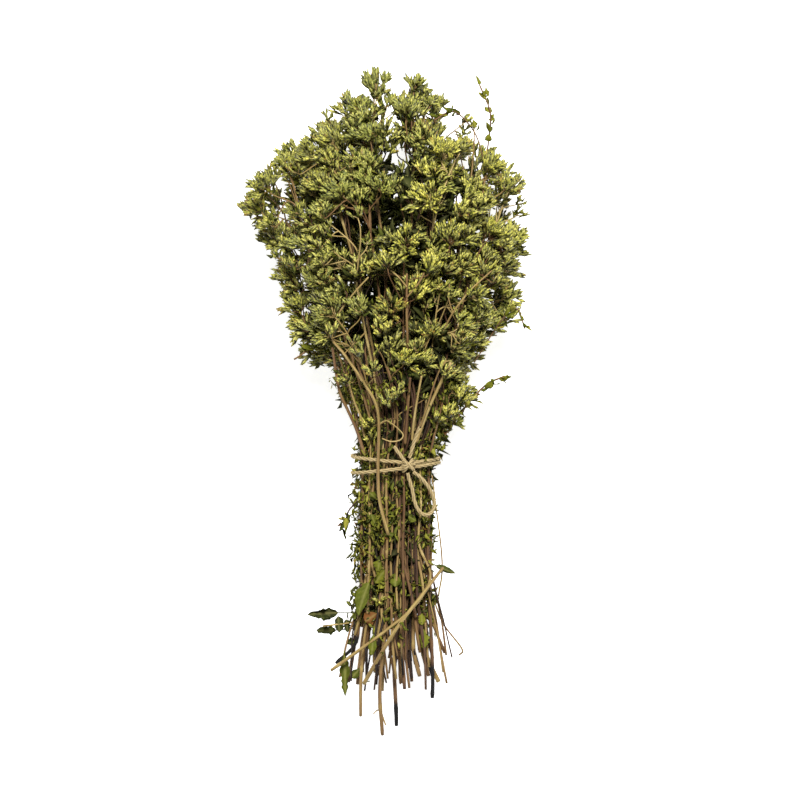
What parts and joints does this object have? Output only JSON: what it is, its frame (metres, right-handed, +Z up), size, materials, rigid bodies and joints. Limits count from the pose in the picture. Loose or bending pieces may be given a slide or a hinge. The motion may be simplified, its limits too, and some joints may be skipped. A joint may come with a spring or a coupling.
{
  "type": "dried oregano bunch",
  "caption": "Bunch of dried oregano lying on its side: flowering stems with clustered green flower heads, tied round the middle with jute twine.",
  "frame": {"origin": "middle of the bunch's footprint, on the surface that it lies on", "axes": "+Y along the bunch from the cut ends to the flower tops, +Z up from the surface, +X to the right seen from above with the tops away"},
  "size_m": [0.1744, 0.3978, 0.1168],
  "materials": {
    "stem": "matte",
    "flowers": "matte",
    "leaf": "matte",
    "twine": "matte"
  },
  "bodies": {
    "root": {"stem_01": "stem", "stem_02": "stem", "stem_03": "stem", "stem_04": "stem", "stem_05": "stem", "stem_06": "stem", "stem_07": "stem", "stem_08": "stem", "stem_09": "stem", "stem_10": "stem", "stem_11": "stem", "stem_12": "stem", "stem_13": "stem", "stem_14": "stem", "stem_15": "stem", "stem_16": "stem", "stem_17": "stem", "stem_18": "stem", "stem_19": "stem", "stem_20": "stem", "stem_21": "stem", "stem_22": "stem", "stem_23": "stem", "stem_24": "stem", "stem_25": "stem", "stem_26": "stem", "flower_head_01": "flowers", "flower_head_02": "flowers", "flower_head_03": "flowers", "flower_head_04": "flowers", "flower_head_05": "flowers", "flower_head_06": "flowers", "flower_head_07": "flowers", "flower_head_08": "flowers", "flower_head_09": "flowers", "flower_head_10": "flowers", "flower_head_11": "flowers", "flower_head_12": "flowers", "flower_head_13": "flowers", "flower_head_14": "flowers", "flower_head_15": "flowers", "flower_head_16": "flowers", "flower_head_17": "flowers", "flower_head_18": "flowers", "flower_head_19": "flowers", "flower_head_20": "flowers", "flower_head_21": "flowers", "flower_head_22": "flowers", "flower_head_23": "flowers", "flower_head_24": "flowers", "flower_head_25": "flowers", "flower_head_26": "flowers", "leaf_1": "leaf", "leaf_2": "leaf", "leaf_3": "leaf", "leaf_4": "leaf", "leaf_5": "leaf", "twine_tie": "twine", "twine_bow_loop": "twine", "twine_loose_end": "twine"}
  },
  "joints": []
}
